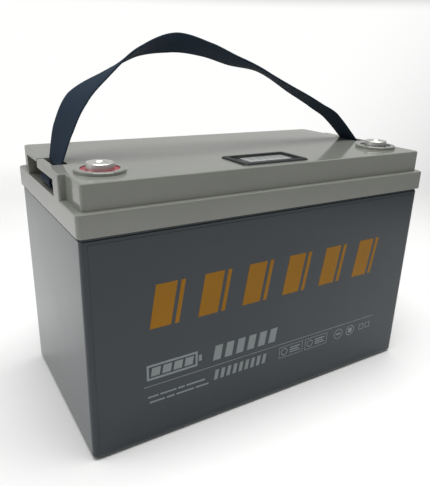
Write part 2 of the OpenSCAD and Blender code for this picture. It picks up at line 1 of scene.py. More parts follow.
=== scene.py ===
"""Looks of a sealed deep cycle battery with a webbing carry strap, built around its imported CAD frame."""
import json
import math

import bmesh
import bpy
from mathutils import Matrix, Vector


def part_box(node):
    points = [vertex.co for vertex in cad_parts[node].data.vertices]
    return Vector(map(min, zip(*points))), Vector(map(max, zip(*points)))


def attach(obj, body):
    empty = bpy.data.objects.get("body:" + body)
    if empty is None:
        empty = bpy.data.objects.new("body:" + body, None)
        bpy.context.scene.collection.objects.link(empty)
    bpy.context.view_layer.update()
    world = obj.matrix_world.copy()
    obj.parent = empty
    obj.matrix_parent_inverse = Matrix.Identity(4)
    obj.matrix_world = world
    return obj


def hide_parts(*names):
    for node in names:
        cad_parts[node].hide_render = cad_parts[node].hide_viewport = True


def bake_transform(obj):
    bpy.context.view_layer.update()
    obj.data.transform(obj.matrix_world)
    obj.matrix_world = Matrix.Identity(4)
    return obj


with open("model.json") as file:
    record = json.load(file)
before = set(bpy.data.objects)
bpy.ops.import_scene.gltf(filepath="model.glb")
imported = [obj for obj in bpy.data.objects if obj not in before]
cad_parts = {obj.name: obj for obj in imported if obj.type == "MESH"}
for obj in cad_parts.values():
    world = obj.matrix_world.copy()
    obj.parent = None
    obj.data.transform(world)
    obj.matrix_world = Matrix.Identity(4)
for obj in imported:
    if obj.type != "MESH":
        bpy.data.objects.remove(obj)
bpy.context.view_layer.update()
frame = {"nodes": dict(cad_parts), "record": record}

MM = 0.001
BATTERY = "battery"

# ---------------------------------------------------------------------------------------------
# Places taken from the frame
# ---------------------------------------------------------------------------------------------
LABEL_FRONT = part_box("front_label")[0].y
PANEL_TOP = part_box("lcd_panel")[1].z
WINDOW_LOW, WINDOW_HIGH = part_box("display_window")


def middle_of(node):
    low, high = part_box(node)
    return (low + high) / 2


# ---------------------------------------------------------------------------------------------
# Camera, lights and floor
# ---------------------------------------------------------------------------------------------
CAMERA_PLACE = Vector((-0.2474, -0.3835, 0.2889))
CAMERA_TURN = (69.88, -1.60, -31.06)
CAMERA_LENS = 37.2
CAMERA_SENSOR = 36
CAMERA_SHIFT = 0.002
CAMERA_NEAR = 0.01


def make_camera():
    data = bpy.data.cameras.new("camera")
    data.lens = CAMERA_LENS
    data.sensor_width = CAMERA_SENSOR
    data.shift_x = CAMERA_SHIFT
    data.clip_start = CAMERA_NEAR
    camera = bpy.data.objects.new("camera", data)
    camera.location = CAMERA_PLACE
    camera.rotation_euler = [math.radians(turn) for turn in CAMERA_TURN]
    bpy.context.scene.collection.objects.link(camera)
    bpy.context.scene.camera = camera
    bpy.context.scene.view_settings.view_transform = "Standard"


# Each light's place, the point it faces, its two sides in metres and its power in watts
LIGHTS = {
    "left_light": ((-1.5, 0.35, 0.75), (0, 0, 0.12), (1.2, 1.2), 6),
    "top_light": ((0.0, -0.15, 1.6), (0, 0, 0.2), (1.4, 1.0), 26),
    "camera_spark": ((-0.20, -0.62, 0.48), (0, 0, 0.2), (0.02, 0.02), 0.15),
}


def make_light(name, place, target, size, power):
    data = bpy.data.lights.new(name, "AREA")
    data.shape = "RECTANGLE"
    data.size, data.size_y = size
    data.energy = power
    light = bpy.data.objects.new(name, data)
    light.location = place
    light.rotation_euler = (Vector(target) - Vector(place)).to_track_quat("-Z", "Y").to_euler()
    bpy.context.scene.collection.objects.link(light)


# The white room's brightness by direction: from one share of the direction to another, it goes
# from one brightness to another. By lean away from the front face, by height and by side.
FRONT_LEAN = Vector((-0.42, 0.72, 0.55)).normalized()
ROOM_COLOUR = (1.0, 1.0, 0.995, 1.0)
BY_LEAN = (-0.45, 0.25, 0.34, 1.0)
BY_HEIGHT = (0.085, 0.125, 1.0, 0.47)
BY_SIDE = (-0.12, 0.08, 0.68, 1.0)


def make_world():
    """A pale studio: a white sweep up to the horizon, softer above, dimmer where the front face looks."""
    world = bpy.data.worlds.new("studio")
    world.use_nodes = True
    bpy.context.scene.world = world
    tree = world.node_tree
    background = tree.nodes["Background"]
    direction = tree.nodes.new("ShaderNodeTexCoord").outputs["Generated"]

    def ramp(value, limits):
        made = tree.nodes.new("ShaderNodeMapRange")
        made.interpolation_type = "SMOOTHSTEP"
        tree.links.new(value, made.inputs["Value"])
        for key, number in zip(("From Min", "From Max", "To Min", "To Max"), limits):
            made.inputs[key].default_value = number
        return made.outputs["Result"]

    def product(a, b):
        made = tree.nodes.new("ShaderNodeMath")
        made.operation = "MULTIPLY"
        tree.links.new(a, made.inputs[0])
        tree.links.new(b, made.inputs[1])
        return made.outputs[0]

    lean = tree.nodes.new("ShaderNodeVectorMath")
    lean.operation = "DOT_PRODUCT"
    lean.inputs[1].default_value = FRONT_LEAN
    tree.links.new(direction, lean.inputs[0])
    split = tree.nodes.new("ShaderNodeSeparateXYZ")
    tree.links.new(direction, split.inputs[0])
    by_lean = ramp(lean.outputs["Value"], BY_LEAN)
    by_height = ramp(split.outputs["Z"], BY_HEIGHT)
    by_side = ramp(split.outputs["X"], BY_SIDE)
    tree.links.new(product(product(by_lean, by_height), by_side), background.inputs["Strength"])
    background.inputs["Color"].default_value = ROOM_COLOUR


class Paint:
    """A material in the making: each call adds nodes and returns the socket it ends in."""

    def __init__(self, name):
        self.material = bpy.data.materials.new(name)
        self.material.use_nodes = True
        self.tree = self.material.node_tree
        self.shader = self.tree.nodes["Principled BSDF"]
        self.heights = []
        self.place = self.node("ShaderNodeTexCoord").outputs["Object"]

    def put(self, target, value):
        if isinstance(value, bpy.types.NodeSocket):
            self.tree.links.new(value, target)
        else:
            target.default_value = value

    def node(self, kind, inputs=None, **settings):
        made = self.tree.nodes.new(kind)
        for key, value in settings.items():
            setattr(made, key, value)
        for key, value in (inputs or {}).items():
            self.put(made.inputs[key], value)
        return made

    def set(self, **values):
        for key, value in values.items():
            self.put(self.shader.inputs[key.replace("_", " ").title().replace("Ior", "IOR")], value)

    def math(self, operation, a, b=0.0):
        return self.node("ShaderNodeMath", {0: a, 1: b}, operation=operation).outputs[0]

    def vector(self, operation, a, b=(0.0, 0.0, 0.0)):
        return self.node("ShaderNodeVectorMath", {0: a, 1: b}, operation=operation)

    def stretched(self, scale):
        """The place, multiplied by a scale along each axis."""
        return self.vector("MULTIPLY", self.place, scale).outputs[0]

    def product(self, a, b):
        return self.math("MULTIPLY", a, b)

    def noise(self, scale, detail=3.0, rough=0.5, at=None):
        values = {"Vector": at or self.place, "Scale": scale, "Detail": detail, "Roughness": rough}
        return self.node("ShaderNodeTexNoise", values).outputs["Fac"]

    def remap(self, value, low, high, to_low=0.0, to_high=1.0):
        values = {"Value": value, "From Min": low, "From Max": high, "To Min": to_low, "To Max": to_high}
        return self.node("ShaderNodeMapRange", values, interpolation_type="SMOOTHSTEP").outputs["Result"]

    def mix(self, factor, a, b):
        made = self.node("ShaderNodeMix", data_type="RGBA", clamp_factor=True)
        for target, value in zip((made.inputs[0], made.inputs[6], made.inputs[7]), (factor, a, b)):
            self.put(target, (*value, 1.0) if isinstance(value, tuple) else value)
        return made.outputs[2]

    def attribute(self, name):
        return self.node("ShaderNodeAttribute", attribute_name=name).outputs["Fac"]

    def bump(self, height, depth, strength=1.0):
        """Adds a height in metres to the surface's normal."""
        values = {"Height": height, "Distance": depth, "Strength": strength}
        if self.heights:
            values["Normal"] = self.heights[-1]
        self.heights.append(self.node("ShaderNodeBump", values).outputs["Normal"])
        self.put(self.shader.inputs["Normal"], self.heights[-1])

    def edges(self, radius):
        """1 on an edge, 0 away from it."""
        rounded = self.node("ShaderNodeBevel", {"Radius": radius}, samples=4).outputs["Normal"]
        true = self.node("ShaderNodeNewGeometry").outputs["Normal"]
        return self.remap(self.vector("DOT_PRODUCT", rounded, true).outputs["Value"], 0.995, 0.82)


def shade(colour, factor):
    return tuple(channel * factor for channel in colour)


# ---------------------------------------------------------------------------------------------
# Finishes
# ---------------------------------------------------------------------------------------------
def moulded_plastic(name, colour, rough, grain, gloss=0.5, haze=0.045):
    """Injection moulded plastic: faint flow marks, orange peel, hairline rubs and dust, worn edges."""
    paint = Paint(name)
    flow = paint.noise(7.0, 4.0, 0.55, paint.stretched((1.0, 1.6, 2.4)))
    body = paint.mix(paint.remap(flow, 0.3, 0.7), shade(colour, 0.955), shade(colour, 1.04))
    speck = paint.remap(paint.noise(2600.0, 1.0), 0.70, 0.80, 0.0, 0.25)
    body = paint.mix(speck, body, shade(colour, 1.25))
    hairlines = paint.noise(260.0, 2.0, 0.6, paint.stretched((0.10, 0.22, 1.0)))
    rub = paint.product(paint.remap(hairlines, 0.66, 0.74), paint.remap(paint.noise(14.0), 0.50, 0.66))
    wear = paint.remap(paint.noise(60.0), 0.35, 0.65, 0.2, 0.35)
    marks = paint.math("MAXIMUM", paint.product(rub, 0.16), paint.product(paint.edges(0.7 * MM), wear))
    paint.set(base_color=paint.mix(marks, body, shade(colour, 1.45)), specular_ior_level=gloss)
    cloud = paint.remap(paint.noise(22.0, 5.0, 0.6), 0.3, 0.7, rough - haze, rough + haze)
    paint.set(roughness=paint.math("ADD", cloud, paint.product(marks, 0.30)))
    paint.bump(paint.noise(420.0, 2.0), grain * 2.2, 0.5)
    paint.bump(paint.noise(2400.0, 2.0), grain, 0.6)
    paint.bump(rub, -0.000006, 0.6)
    return paint.material


def printed_film(name, colour, rough, lift=1.0, gloss=0.2):
    """Laminated label film: a fine calendered grain, slow waves from the adhesive, slight rubs."""
    paint = Paint(name)
    cloud = paint.noise(9.0, 3.0)
    body = paint.mix(paint.remap(cloud, 0.3, 0.7), shade(colour, 0.94), shade(colour, 1.06))
    dots = paint.remap(paint.noise(3200.0, 0.0), 0.62, 0.74, 0.0, 0.12)
    paint.set(base_color=paint.mix(dots, body, shade(colour, 1.5)), specular_ior_level=gloss)
    rubs = paint.remap(paint.noise(120.0, 4.0, 0.7, paint.stretched((0.25, 1.0, 1.0))), 0.58, 0.72)
    paint.set(roughness=paint.math("ADD", paint.product(rubs, 0.06), rough))
    paint.bump(paint.noise(16.0, 1.0), 0.00035 * lift, 0.25)
    paint.bump(paint.noise(2600.0, 1.0), 0.000008, 0.5)
    return paint.material


def glossy_ring(name, colour):
    """Small coloured insulator: glossy, with a moulding ripple and dust."""
    paint = Paint(name)
    tone = paint.remap(paint.noise(160.0, 3.0), 0.35, 0.65)
    body = paint.mix(tone, shade(colour, 0.88), shade(colour, 1.1))
    dust = paint.remap(paint.noise(900.0, 3.0, 0.7), 0.60, 0.78, 0.0, 0.08)
    paint.set(base_color=paint.mix(dust, body, (0.35, 0.34, 0.32)))
    paint.set(roughness=paint.math("ADD", paint.product(dust, 0.9), 0.20), specular_ior_level=0.3)
    paint.bump(paint.noise(700.0, 2.0), 0.00002, 0.4)
    return paint.material


TURNED_PITCH = 0.28 * MM


def turned_metal(name, colour, rough, centre):
    """Metal turned on a lathe and tin plated: fine rings about the centre, dull spots, tarnish."""
    paint = Paint(name)
    from_centre = paint.vector("SUBTRACT", paint.place, tuple(centre)).outputs[0]
    flat = paint.vector("MULTIPLY", from_centre, (1.0, 1.0, 0.0)).outputs[0]
    radius = paint.vector("LENGTH", flat).outputs["Value"]
    rings = paint.math("SINE", paint.product(radius, 2 * math.pi / TURNED_PITCH))
    broken = paint.product(rings, paint.remap(paint.noise(500.0, 3.0), 0.3, 0.7, 0.3, 1.0))
    tarnish = paint.remap(paint.noise(130.0, 5.0, 0.65), 0.45, 0.72)
    paint.set(base_color=paint.mix(tarnish, colour, shade(colour, 0.78)), metallic=0.72)
    dull = paint.remap(paint.noise(320.0, 4.0, 0.6), 0.35, 0.70, rough - 0.06, rough + 0.12)
    paint.set(roughness=dull)
    paint.bump(broken, 0.000004, 0.5)
    paint.bump(paint.noise(900.0, 3.0), 0.000006, 0.3)
    return paint.material


def brushed_metal(name, colour, rough, stain=0.8):
    """Sheet or plated metal: a brushed or rolled grain, blotches where it was handled."""
    paint = Paint(name)
    grain = paint.noise(1500.0, 3.0, 0.6, paint.stretched((0.06, 1.0, 1.0)))
    blotch = paint.remap(paint.noise(48.0, 4.0, 0.6), 0.4, 0.7)
    paint.set(base_color=paint.mix(blotch, colour, shade(colour, stain)), metallic=1.0)
    paint.set(roughness=paint.remap(grain, 0.3, 0.7, rough - 0.07, rough + 0.1))
    paint.bump(grain, 0.00002, 0.45)
    return paint.material


def circuit_board(name):
    """Solder mask over copper: traces show as slightly raised, lighter lines."""
    paint = Paint(name)
    lines = {"Vector": paint.place, "Scale": 210.0, "Mortar Size": 0.03}
    traces = paint.node("ShaderNodeTexBrick", lines).outputs["Fac"]
    mask = paint.mix(paint.remap(paint.noise(35.0), 0.4, 0.6), (0.010, 0.085, 0.045), (0.014, 0.11, 0.055))
    paint.set(base_color=paint.mix(traces, mask, (0.03, 0.20, 0.10)))
    paint.set(roughness=paint.remap(paint.noise(300.0), 0.3, 0.7, 0.24, 0.36))
    paint.bump(traces, 0.00003, 0.6)
    return paint.material


def rubbery(name, colour, rough, pore=0.00003, scale=1800.0):
    """Rubber, foam, sealant or wire insulation: matt and slightly pitted, with chalky patches."""
    paint = Paint(name)
    pores = paint.noise(scale, 3.0, 0.6)
    chalk = paint.remap(paint.noise(70.0, 4.0, 0.6), 0.45, 0.75, 0.0, 0.4)
    body = paint.mix(paint.remap(pores, 0.35, 0.65), shade(colour, 0.82), shade(colour, 1.12))
    paint.set(base_color=paint.mix(chalk, body, shade(colour, 1.35)))
    paint.set(roughness=paint.remap(pores, 0.3, 0.7, rough - 0.06, rough + 0.08))
    paint.bump(pores, pore, 0.7)
    return paint.material


def clear_window(name):
    """Smoked clear acrylic with fine wipe marks."""
    paint = Paint(name)
    wipes = paint.noise(900.0, 2.0, 0.6, paint.stretched((0.12, 1.0, 1.0)))
    smoke = paint.remap(paint.noise(40.0), 0.3, 0.7)
    paint.set(base_color=paint.mix(smoke, (0.018, 0.019, 0.021), (0.03, 0.031, 0.034)))
    paint.set(roughness=paint.remap(wipes, 0.4, 0.75, 0.05, 0.11), alpha=0.09, specular_ior_level=0.5)
    paint.bump(paint.noise(30.0, 1.0), 0.00006, 0.3)
    return paint.material


def webbing_cloth(name):
    """Woven polyester webbing: ribs along it, each crossed by slanting yarns that change side. The raised
    yarn crowns are painted lighter and the hollows darker: painted light and shade.
    """
    paint = Paint(name)
    across = paint.attribute("webbing_across")
    along = paint.attribute("webbing_along")
    rib = paint.math("DIVIDE", across, RIB_PITCH / MM)
    slant = paint.math("ABSOLUTE", paint.math("SINE", paint.product(rib, math.pi)))
    row = paint.math("DIVIDE", along, YARN_PITCH / MM)
    turned = paint.math("ADD", row, paint.product(slant, YARN_SLANT))
    yarn = paint.math("ABSOLUTE", paint.math("SINE", paint.product(turned, math.pi)))
    fibres = paint.noise(2600.0, 3.0, 0.7)
    # Raised yarn crowns, also the bump's height; in the colour they are painted light on the crowns and
    # painted shade in the hollows between ribs and yarns
    lit = paint.product(paint.math("POWER", yarn, 0.6), paint.remap(slant, 0.0, 0.7, 0.35, 1.0))
    # Tone of the cloth: the painted crown light and hollow shade, plus random fibre tone
    tone = paint.math("ADD", paint.product(lit, 0.42), paint.product(fibres, 0.60))
    cloth = paint.mix(paint.remap(tone, 0.1, 0.85), (0.0095, 0.0160, 0.0255), (0.0220, 0.0360, 0.0560))
    faded = paint.remap(paint.noise(26.0, 4.0, 0.6), 0.45, 0.75, 0.0, 0.35)
    paint.set(base_color=paint.mix(faded, cloth, (0.020, 0.031, 0.047)))
    paint.set(roughness=paint.remap(fibres, 0.3, 0.7, 0.72, 0.88), specular_ior_level=0.10)
    paint.bump(lit, 0.00007, 0.6)
    paint.bump(fibres, 0.00005, 0.6)
    return paint.material


def thread_cloth(name):
    """Twisted sewing thread."""
    paint = Paint(name)
    twist = paint.node("ShaderNodeTexWave", {"Vector": paint.place, "Scale": 900.0, "Distortion": 1.5})
    paint.set(base_color=paint.mix(twist.outputs["Fac"], (0.006, 0.007, 0.010), (0.022, 0.025, 0.034)))
    paint.set(roughness=paint.remap(paint.noise(900.0), 0.3, 0.7, 0.45, 0.62))
    paint.bump(twist.outputs["Fac"], 0.00005, 0.7)
    return paint.material


FLOOR_SIZE = 2.4
FLOOR_GAP = 0.2 * MM
FLOOR_FADE = (0.55, 1.15)


def pale_floor(name):
    """A pale, faintly mottled studio sheet that fades into the white room away from the object."""
    paint = Paint(name)
    tone = paint.remap(paint.noise(3.0, 4.0), 0.3, 0.7)
    paint.set(base_color=paint.mix(tone, (0.87, 0.87, 0.865), (0.90, 0.90, 0.895)), roughness=0.9)
    away = paint.vector("LENGTH", paint.place).outputs["Value"]
    paint.set(alpha=paint.remap(away, *FLOOR_FADE, 1.0, 0.0), specular_ior_level=0.1)
    return paint.material


# ---------------------------------------------------------------------------------------------
# Mesh helpers
# ---------------------------------------------------------------------------------------------
def new_piece(name, mesh, material, smooth=True):
    mesh.materials.clear()
    mesh.materials.append(material)
    piece = bpy.data.objects.new(name, mesh)
    bpy.context.scene.collection.objects.link(piece)
    if smooth:
        mesh.polygons.foreach_set("use_smooth", [True] * len(mesh.polygons))
    return piece


def mesh_of(name, bm):
    mesh = bpy.data.meshes.new(name)
    bmesh.ops.recalc_face_normals(bm, faces=bm.faces)
    bm.to_mesh(mesh)
    bm.free()
    return mesh


def make_floor(name):
    """A square sheet just under the object."""
    mesh = bpy.data.meshes.new(name)
    half = FLOOR_SIZE / 2
    corners = [(-half, -half), (half, -half), (half, half), (-half, half)]
    mesh.from_pydata([(x, y, -FLOOR_GAP) for x, y in corners], [], [(0, 1, 2, 3)])
    return new_piece(name, mesh, pale_floor("floor_sheet"), smooth=False)


MERGE_DISTANCE = 0.02 * MM
FLAT_ANGLE = math.radians(0.6)
SHARP_ANGLE = math.radians(32)
FLAT_WEIGHT = 100


def softened(node, name, material, radius, segments=3):
    """A copy of a CAD node with its sharp edges rounded, which stands for it."""
    bm = bmesh.new()
    bm.from_mesh(frame["nodes"][node].data)
    bmesh.ops.remove_doubles(bm, verts=bm.verts, dist=MERGE_DISTANCE)
    bmesh.ops.dissolve_limit(bm, angle_limit=FLAT_ANGLE, verts=bm.verts, edges=bm.edges)
    piece = new_piece(name, mesh_of(name, bm), material)
    bevel = piece.modifiers.new("rounded_edges", "BEVEL")
    bevel.width = radius
    bevel.segments = segments
    bevel.limit_method = "ANGLE"
    bevel.angle_limit = SHARP_ANGLE
    bevel.use_clamp_overlap = True
    flats = piece.modifiers.new("flat_faces_stay_flat", "WEIGHTED_NORMAL")
    flats.mode = "FACE_AREA"
    flats.weight = FLAT_WEIGHT
    flats.keep_sharp = False
    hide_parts(node)
    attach(piece, BATTERY)
    return piece


# ---------------------------------------------------------------------------------------------
# Webbing strap: one continuous band from pin to pin
# ---------------------------------------------------------------------------------------------
STRAP_WIDTH = 25 * MM
STRAP_THICKNESS = 1.6 * MM
RIB_PITCH = 1.92 * MM
YARN_PITCH = 1.7 * MM
YARN_SLANT = 0.55
RIB_DEPTH = 0.07 * MM
YARN_DEPTH = 0.05 * MM
SELVEDGE_RISE = 0.06 * MM
BAND_STEP = 0.85 * MM
ACROSS_STEPS = 78
EDGE_STEPS = 5
SPLINE_STEPS = 40
HEADING_STEP = 0.004

# Centre line in millimetres, and the lean of the width direction along X and Z
STRAP_ROUTE = [
    ((-154.5, -4, 214.2), (0.10, 0.00)),
    ((-147, -4, 238), (0.30, -0.15)),
    ((-135, -3, 259), (0.35, -0.15)),
    ((-113, -3, 276), (-0.15, -0.05)),
    ((-85, -2, 293), (-0.55, 0.15)),
    ((-56, -1, 300), (-0.45, 0.65)),
    ((-26, -1, 296), (-0.35, 0.45)),
    ((2, 0, 288), (-0.50, 0.35)),
    ((36, 1, 279), (-0.60, 0.10)),
    ((75, 2, 262), (-0.60, 0.25)),
    ((104, 3, 249), (-0.45, 0.25)),
    ((126, 4, 238), (-0.32, 0.27)),
    ((154.5, 4, 214.2), (-0.10, 0.05)),
]
# From the slot down round the pin and back up to the sewn end, as X and Z beside the pin's axis
LOOP_ROUTE = [
    (3.2, 11.2), (3.1, 8.8), (1.9, 6.9), (-0.7, 5.2), (-3.1, 3.2), (-4.4, 0.3), (-3.3, -2.95),
    (0, -4.4), (3.2, -3.0), (4.4, 0.3), (4.65, 3.6), (4.75, 7.5), (4.8, 11.5),
]


def on_spline(points, at):
    """Point at a place on a smooth curve through the points, where the place counts points."""
    first = min(int(at), len(points) - 2)
    part = at - first
    rest = 1 - part
    before, a, b = points[max(first - 1, 0)], points[first], points[first + 1]
    after = points[min(first + 2, len(points) - 1)]
    span = max((b - a).length, 1e-6)
    leave = (b - before) * span / ((a - before).length + span)
    arrive = (after - a) * span / ((after - b).length + span)
    ends = rest * rest * (1 + 2 * part) * a + part * part * (3 - 2 * part) * b
    return ends + part * rest * rest * leave - part * part * rest * arrive


def strap_path():
    """Points and width directions of the whole band, evenly spaced."""
    pin = middle_of("left_strap_pin")
    strap_y = STRAP_ROUTE[0][0][1] * MM
    loop = [Vector((pin.x + x * MM, strap_y, pin.z + z * MM)) for x, z in LOOP_ROUTE]
    far_loop = [Vector((-p.x, -p.y, p.z)) for p in loop]
    points = loop[::-1] + [Vector(p) * MM for p, lean in STRAP_ROUTE] + far_loop
    straight = [Vector((0, -1, 0))] * len(loop)
    leans = straight + [Vector((lean[0], -1, lean[1])) for p, lean in STRAP_ROUTE] + straight
    places = [i / SPLINE_STEPS for i in range(SPLINE_STEPS * (len(points) - 1) + 1)]
    fine = [on_spline(points, at) for at in places]
    lengths = [0.0]
    for a, b in zip(fine, fine[1:]):
        lengths.append(lengths[-1] + (b - a).length)
    count = round(lengths[-1] / BAND_STEP)
    rings = []
    index = 0
    for i in range(count + 1):
        wanted = lengths[-1] * i / count
        while index < len(lengths) - 2 and lengths[index + 1] < wanted:
            index += 1
        part = (wanted - lengths[index]) / max(lengths[index + 1] - lengths[index], 1e-9)
        at = places[index] + part * (places[index + 1] - places[index])
        at = min(max(at, HEADING_STEP), len(points) - 1 - HEADING_STEP)
        ahead = on_spline(points, at + HEADING_STEP)
        heading = (ahead - on_spline(points, at - HEADING_STEP)).normalized()
        lean = on_spline(leans, at)
        width = (lean - heading * lean.dot(heading)).normalized()
        rings.append((on_spline(points, at), width, heading.cross(width), wanted))
    return rings


def band_half_thickness(across, along):
    """Half the band's thickness: ribs, slanting yarns and a slightly raised woven border."""
    to_edge = abs(across) / (STRAP_WIDTH / 2)
    body = STRAP_THICKNESS / 2 - RIB_DEPTH - YARN_DEPTH
    rib = abs(math.sin(math.pi * across / RIB_PITCH))
    yarn = abs(math.sin(math.pi * (along / YARN_PITCH + YARN_SLANT * rib)))
    selvedge = SELVEDGE_RISE * math.exp(-((to_edge - 0.93) / 0.05) ** 2)
    return body + RIB_DEPTH * rib + YARN_DEPTH * yarn + selvedge


def make_band(name, rings, material):
    """A closed ribbed band swept through the rings."""
    profile = [-0.5 + i / ACROSS_STEPS for i in range(ACROSS_STEPS + 1)]
    flat_width = STRAP_WIDTH - STRAP_THICKNESS * 0.8
    bm = bmesh.new()
    across_layer = bm.verts.layers.float.new("webbing_across")
    along_layer = bm.verts.layers.float.new("webbing_along")
    loops = []
    for centre, width, normal, length in rings:
        loop = []

        def add(across, up):
            vert = bm.verts.new(centre + width * across + normal * up)
            vert[across_layer] = across / MM
            vert[along_layer] = length / MM
            loop.append(vert)

        for side in (1, -1):
            for share in profile:
                across = side * share * flat_width
                add(across, side * band_half_thickness(across, length))
            half = band_half_thickness(flat_width / 2, length)
            for i in range(1, EDGE_STEPS):
                angle = math.pi * i / EDGE_STEPS
                reach = flat_width / 2 + STRAP_THICKNESS * 0.4 * math.sin(angle)
                add(side * reach, side * half * math.cos(angle))
        loops.append(loop)
    count = len(loops[0])
    for near, far in zip(loops, loops[1:]):
        for i in range(count):
            bm.faces.new((near[i], near[(i + 1) % count], far[(i + 1) % count], far[i]))
    for cap in (loops[0], loops[-1]):
        centre = sum((vert.co for vert in cap), Vector()) / count
        hub = bm.verts.new(centre)
        for i in range(count):
            bm.faces.new((cap[i], cap[(i + 1) % count], hub))
    return new_piece(name, mesh_of(name, bm), material)


TUBE_SIDES = 8
TUBE_END_SHARE = 0.35


def add_tube(bm, points, radius):
    """A round thread through a few points, with tapered ends."""
    sides = TUBE_SIDES
    rings = []
    for i, point in enumerate(points):
        heading = (points[min(i + 1, len(points) - 1)] - points[max(i - 1, 0)]).normalized()
        side = heading.orthogonal().normalized()
        up = heading.cross(side)
        thin = TUBE_END_SHARE if i in (0, len(points) - 1) else 1.0
        rings.append([
            bm.verts.new(point + radius * thin * (side * math.cos(a) + up * math.sin(a)))
            for a in (2 * math.pi * k / sides for k in range(sides))])
    for near, far in zip(rings, rings[1:]):
        turn = min(range(sides), key=lambda k: (near[0].co - far[k].co).length)
        facing = [far[(k + turn) % sides] for k in range(sides)]
        for k in range(sides):
            after = (k + 1) % sides
            bm.faces.new((near[k], near[after], facing[after], facing[k]))
    bm.faces.new(rings[0])
    bm.faces.new(rings[-1])


STITCH_LENGTH = 2.0 * MM
STITCH_GAP = 0.7 * MM
STITCH_MARGIN = 1.5 * MM
STITCH_ROWS = (9.0, 10.0, 11.0)
THREAD_RADIUS = 0.22 * MM
PLY_MIDDLE = 0.88 * MM
# One stitch: the share of its length, and how far it stands off the cloth there in millimetres
STITCH_ARCH = ((0, -0.25), (0.15, 0.02), (0.5, 0.10), (0.85, 0.02), (1, -0.25))


def make_stitching(name, side, material):
    """Rows of stitches across both plies above the pin."""
    pin = middle_of("left_strap_pin")
    slot = Vector(STRAP_ROUTE[0][0]) * MM
    bm = bmesh.new()
    pitch = STITCH_LENGTH + STITCH_GAP
    count = int((STRAP_WIDTH - 2 * STITCH_MARGIN) / pitch)
    for height in STITCH_ROWS:
        for face in (-1, 1):
            x = slot.x + face * (PLY_MIDDLE + STRAP_THICKNESS / 2)
            for i in range(count):
                start = slot.y + (i - count / 2) * pitch + STITCH_GAP / 2
                points = [
                    Vector((x + face * lift * MM, start + share * STITCH_LENGTH, pin.z + height * MM))
                    for share, lift in STITCH_ARCH]
                add_tube(bm, points, THREAD_RADIUS)
    if side > 0:
        bmesh.ops.rotate(bm, verts=bm.verts, cent=(0, 0, 0), matrix=Matrix.Rotation(math.pi, 3, "Z"))
    return new_piece(name, mesh_of(name, bm), material)


# ---------------------------------------------------------------------------------------------
# Label print: plain shapes only, laid on the film
# ---------------------------------------------------------------------------------------------
# Outlines are in millimetres: X along the case from its middle, Z above the ground
PRINT_LIFT = 0.03 * MM
PRINT_THICKNESS = 0.05 * MM
SLANT = 0.16


def bar(x, z, width, height, slant=0.0):
    """A bar from its lower left corner, leaning to the right."""
    lean = slant * height
    return [(x, z), (x + width, z), (x + width + lean, z + height), (x + lean, z + height)]


RING_STEPS = 32


def ring(x, z, outer, inner):
    """A ring as two facing halves, so that each half is one simple outline."""
    halves = []
    for start in (0, math.pi):
        angles = [start + math.pi * i / RING_STEPS for i in range(RING_STEPS + 1)]
        out = [(x + outer * math.cos(a), z + outer * math.sin(a)) for a in angles]
        back = [(x + inner * math.cos(a), z + inner * math.sin(a)) for a in reversed(angles)]
        halves.append(out + back)
    return halves


def outline_box(x, z, width, height, line):
    """A rectangular outline as four bars."""
    return [
        bar(x, z, width, line), bar(x, z + height - line, width, line),
        bar(x, z + line, line, height - 2 * line), bar(x + width - line, z + line, line, height - 2 * line)]


def make_print(name, outlines, material):
    """Flat printed shapes on the front of the label film."""
    bm = bmesh.new()
    front = LABEL_FRONT - PRINT_LIFT
    for outline in outlines:
        rows = [
            [bm.verts.new((x * MM, y, z * MM)) for x, z in outline]
            for y in (front - PRINT_THICKNESS, front + PRINT_LIFT)]
        bm.faces.new(rows[0])
        bm.faces.new(rows[1][::-1])
        for i in range(len(outline)):
            j = (i + 1) % len(outline)
            bm.faces.new((rows[0][i], rows[1][i], rows[1][j], rows[0][j]))
    piece = new_piece(name, mesh_of(name, bm), material, smooth=False)
    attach(piece, BATTERY)
    return piece


def bar_row(count, pitch, x, z, width, height):
    """Slanting bars of one size, evenly spaced."""
    return [bar(x + i * pitch, z, width, height, SLANT) for i in range(count)]


def charge_gauge():
    """A row of slanting blocks, each followed by a thin line, like the steps of a charge gauge."""
    blocks = bar_row(count=6, pitch=40.9, x=-116.5, z=101.5, width=17.5, height=35.0)
    lines = bar_row(count=6, pitch=40.9, x=-95.8, z=101.5, width=3.6, height=35.0)
    return blocks + lines


def pale_marks():
    """The outline of a battery with four cells, and a row of level bars, below the gauge."""
    shapes = outline_box(x=-119.5, z=57.5, width=44.0, height=13.5, line=1.8)
    shapes.append(bar(x=-74.3, z=61.5, width=2.6, height=5.5))
    shapes += bar_row(count=4, pitch=9.6, x=-116.2, z=60.6, width=7.4, height=7.3)
    shapes += bar_row(count=6, pitch=11.2, x=-61.0, z=57.5, width=7.2, height=13.5)
    return shapes


# Lengths of the dashes in the two short lines, with where each line starts and its height
DASH_LINES = ((-119.0, 41.6, (9, 14, 6, 17)), (-117.5, 36.6, (13, 7, 16, 12)))
DASH_HEIGHT = 1.5
DASH_GAP = 1.6


def framed_mark(x):
    """A small frame with a ring and three lines in it."""
    shapes = outline_box(x=x, z=37.6, width=27.0, height=11.6, line=0.5)
    shapes += ring(x=x + 5.8, z=43.4, outer=3.6, inner=2.9)
    for z, width in ((45.2, 12), (42.9, 10), (40.6, 12)):
        shapes.append(bar(x=x + 12, z=z, width=width, height=1.1))
    return shapes


